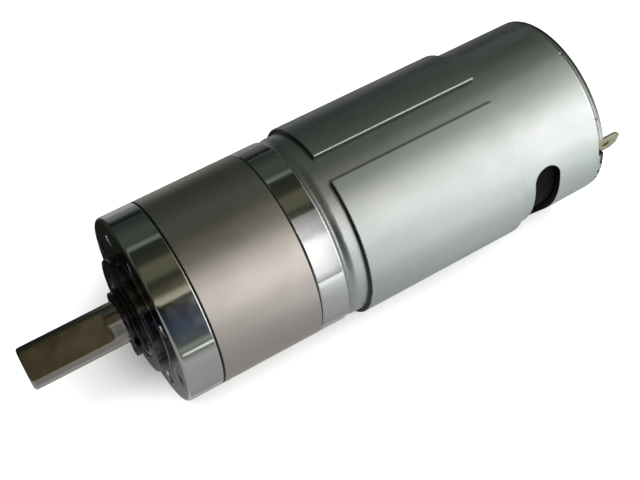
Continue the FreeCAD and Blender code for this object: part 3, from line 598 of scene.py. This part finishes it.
# Painted shade and light on the floor as seen in mirrors beyond the motor, from y = -0.32 to y = 0
BEHIND_SHADE_STOPS = [
    (0.0, (0.010, 0.013, 0.011)), (0.375, (0.024, 0.028, 0.025)),
    (0.54, (0.060, 0.062, 0.060)), (0.735, (0.088, 0.089, 0.088)),
    (0.81, (0.185, 0.185, 0.184)), (0.865, (0.20, 0.20, 0.20)),
    (0.90, (0.085, 0.085, 0.085)), (0.94, (0.030, 0.030, 0.030)),
    (0.98, (0.018, 0.018, 0.018))]


def floor_shade_in_mirrors(g, x, y):
    """Floor colour seen only in mirrors, painted with shade and light by place: grey on the
    viewer's side (+Y), dark beyond the motor.
    """
    near = g.mix(g.remap(x, -0.03, -0.07), (0.155, 0.157, 0.160), (0.226, 0.239, 0.239))
    away = g.mix(g.remap(x, -0.03, -0.11), (0.185, 0.186, 0.188), (0.465, 0.487, 0.482))
    lit = g.mix(g.remap(y, 0.025, 0.10), near, away)
    dim = g.mul(g.remap(y, 0.12, 0.24), g.remap(x, -0.075, -0.055))
    lit = g.mix(dim, lit, (0.085, 0.088, 0.078))
    # painted light: paler strip close to the motor
    strip = g.mul(g.remap(y, 0.0215, 0.0185, smooth=True), g.remap(x, -0.055, -0.065, 0.45, 0.0))
    lit = g.mix(strip, lit, (0.42, 0.42, 0.42))
    behind = g.ramp(g.remap(y, -0.32, 0.0), BEHIND_SHADE_STOPS)
    rearward = g.add(g.remap(x, -0.02, -0.04, 0.0, 0.35), g.remap(x, -0.09, -0.115, 0.0, 0.35))
    behind = g.mix(rearward, behind, (0.006, 0.008, 0.006))
    behind = g.mix(g.remap(x, -0.006, 0.003), behind, (0.012, 0.014, 0.011))
    return g.mix(g.remap(y, -0.012, 0.006, smooth=True), behind, lit)


def floor_material():
    mat, g, bsdf = blank("Pale_Floor")
    rays = g.new("ShaderNodeLightPath").outputs
    position = g.new("ShaderNodeNewGeometry").outputs["Position"]
    x, y, _ = g.split(position)
    texture = g.noise(g.scale(position, 60.0), detail=4.0, rough=0.55)
    pale = g.mix(g.stretch(texture), (0.86, 0.86, 0.855), (0.885, 0.885, 0.88))
    # glossy rays see the floor with painted shade and light; other rays see the even pale floor
    g.fill(bsdf, {"Base Color": g.mix(rays["Is Glossy Ray"], pale, floor_shade_in_mirrors(g, x, y)),
                  "Roughness": 0.9, "Specular IOR Level": 0.0})
    # far away the floor fades into the backdrop, as a paper sweep does
    reach = g.vmath("LENGTH", g.vmath("MULTIPLY", position, (1.0, 1.0, 0.0)))
    sweep = g.mul(g.remap(reach, 0.45, 1.1, smooth=True), rays["Is Camera Ray"])
    paper = g.new("ShaderNodeEmission", {"Color": PAPER})
    blend = g.new("ShaderNodeMixShader", (sweep, bsdf.outputs[0], paper.outputs[0]))
    g.put(g.out.inputs[0], blend.outputs[0])
    return mat


def add_floor():
    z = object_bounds()[0][2] - FLOOR_DROP
    s = FLOOR_HALF
    mesh = bpy.data.meshes.new("studio_floor")
    mesh.from_pydata([(-s, -s, z), (s, -s, z), (s, s, z), (-s, s, z)], [], [(0, 1, 2, 3)])
    floor = bpy.data.objects.new("studio_floor", mesh)
    scene.collection.objects.link(floor)
    mesh.materials.append(floor_material())


add_floor()

# ------------------------------------------------------------------ studio light
# Surroundings by turn about the shaft axis: degrees from +Y towards +Z, colour
SURROUND_STOPS = [
    (-180, (0.03, 0.034, 0.030)), (-175, (0.10, 0.10, 0.10)), (-12, (0.30, 0.30, 0.29)),
    (-1, (0.12, 0.125, 0.115)), (1.5, (0.22, 0.235, 0.205)), (5, (0.21, 0.225, 0.195)),
    (8, (0.085, 0.10, 0.102)), (14, (0.058, 0.073, 0.080)), (24, (0.036, 0.054, 0.076)),
    (34, (0.033, 0.044, 0.073)), (44, (0.022, 0.027, 0.046)), (53, (0.018, 0.020, 0.018)),
    (60, (0.020, 0.018, 0.014)), (62.5, (0.42, 0.38, 0.29)), (67, (0.34, 0.31, 0.23)),
    (72, (0.09, 0.08, 0.048)), (82, (0.034, 0.034, 0.024)), (87, (0.036, 0.036, 0.025)),
    (92, (0.098, 0.098, 0.064)), (106, (0.104, 0.099, 0.069)), (112, (0.034, 0.034, 0.023)),
    (126, (0.022, 0.024, 0.017)), (131, (0.030, 0.034, 0.028)), (133, (0.15, 0.175, 0.15)),
    (136, (0.15, 0.175, 0.15)), (139, (0.048, 0.060, 0.049)), (150, (0.054, 0.068, 0.054)),
    (158, (0.050, 0.062, 0.050)), (168, (0.030, 0.040, 0.034)), (180, (0.026, 0.032, 0.028))]

# Soft panels: (x of the direction, share of light), then (degrees of turn, brightness)
WINDOW = (((-0.300, 0), (-0.296, 1), (-0.266, 1), (-0.262, 0)),
          ((-12, 0.30), (0, 0.52), (9, 1.05), (25, 1.15), (43, 1.38), (47, 1.22), (54, 0.68),
           (64, 0.52), (74, 0.38), (79, 0.28), (81, 0.0)))
GEARBOX_SIDE = (((-0.260, 0), (-0.255, 1), (-0.206, 1), (-0.199, 0)),
                ((-10, 0.0), (0, 0.8), (15, 2.4), (30, 4.1), (45, 4.4), (60, 3.1), (72, 1.90),
                 (84, 0.40), (94, 0.0)))
MOTOR_SIDE = (((-0.46, 1), (-0.42, 0)),
              ((-15, 3.0), (0, 2.45), (15, 1.9), (30, 1.8), (45, 1.88), (60, 1.42), (75, 0.90),
               (90, 0.72), (105, 0.50), (120, 0.22), (140, 0.12), (150, 0.0)))
BETWEEN = (((-0.39, 0), (-0.36, 1), (-0.310, 1), (-0.302, 0)),
           ((0, 0.0), (15, 0.35), (35, 0.75), (45, 0.75), (60, 0.35), (75, 0.06), (85, 0.0)))


def add_world():
    world = bpy.data.worlds.new("Studio")
    scene.world = world
    world.use_nodes = True
    g = Graph(world.node_tree, "ShaderNodeOutputWorld")
    direction = g.new("ShaderNodeTexCoord").outputs["Generated"]
    x, y, z = g.split(direction)
    turn = g.math("DIVIDE", g.math("ARCTAN2", z, y), math.pi * 2)     # -0.5 to 0.5
    waver = g.noise(direction, scale=2.2, detail=1.0, rough=0.4)
    wavy_turn = g.add(turn, 0.5, g.mul(g.sub(waver, 0.5), 0.012))

    def turn_ramp(stops):
        return g.ramp(wavy_turn, [(0.5 + deg / 360.0, colour) for deg, colour in stops])

    def panel(x_stops, turn_stops):
        """Brightness by direction along the shaft times brightness by turn about it."""
        top = max(v for _, v in turn_stops)
        along = g.ramp(g.remap(x, -1.0, 1.0), [(0.5 + q / 2, (v, v, v)) for q, v in x_stops])
        around = turn_ramp([(deg, (v / top,) * 3) for deg, v in turn_stops])
        return g.mul(along, around, top)

    band = turn_ramp(SURROUND_STOPS)
    cool = g.scale((1.0, 1.0, 0.99), g.add(panel(*WINDOW), panel(*BETWEEN)))
    tone = g.mix(g.remap(g.mul(turn, 360.0), 52, 84), (1.01, 0.985, 0.985), (0.945, 1.0, 0.955))
    grey = g.scale(tone, panel(*MOTOR_SIDE))
    warm = g.scale((1.02, 0.99, 0.955), panel(*GEARBOX_SIDE))
    light = g.vmath("ADD", g.vmath("ADD", cool, grey), warm)
    colour = g.vmath("MAXIMUM", band, light)
    camera_ray = g.new("ShaderNodeLightPath").outputs["Is Camera Ray"]
    colour = g.mix(camera_ray, colour, PAPER)
    background = g.new("ShaderNodeBackground", {"Color": colour, "Strength": 1.0})
    g.put(g.out.inputs[0], background.outputs[0])


def add_area(name, location, side, power):
    """Square light aimed at the motor, unseen in mirrors."""
    data = bpy.data.lights.new(name, "AREA")
    data.shape = "RECTANGLE"
    data.size = data.size_y = side
    data.energy = power
    light = bpy.data.objects.new(name, data)
    light.location = location
    light.rotation_mode = "QUATERNION"
    aim = Vector((-0.04, 0, 0)) - Vector(location)
    light.rotation_quaternion = aim.to_track_quat("-Z", "Y")
    light.visible_glossy = False
    scene.collection.objects.link(light)


add_world()
add_area("overhead_soft", location=(-0.05, 0.10, 1.10), side=1.3, power=26.0)
add_area("side_soft", location=(-0.30, 0.80, 0.60), side=0.8, power=5.0)


# ------------------------------------------------------------------ camera
CAMERA_AT = (0.028457, 0.087864, 0.193170)
CAMERA_AXES = ((-0.85138, 0.52198, 0.05195),      # right
               (-0.43826, -0.76224, 0.47637),     # up
               (0.28825, 0.38280, 0.87771))       # back


def add_camera():
    data = bpy.data.cameras.new("view")
    data.sensor_fit = "HORIZONTAL"
    data.sensor_width = 36.0
    data.lens = 67.5
    data.clip_start = 0.01
    data.clip_end = 20.0
    camera = bpy.data.objects.new("view", data)
    camera.rotation_mode = "QUATERNION"
    camera.rotation_quaternion = Matrix(CAMERA_AXES).transposed().to_quaternion()
    camera.location = CAMERA_AT
    scene.collection.objects.link(camera)
    scene.camera = camera


add_camera()
scene.view_settings.view_transform = "Standard"
scene.view_settings.look = "None"
scene.view_settings.exposure = 0.0
scene.view_settings.gamma = 1.0
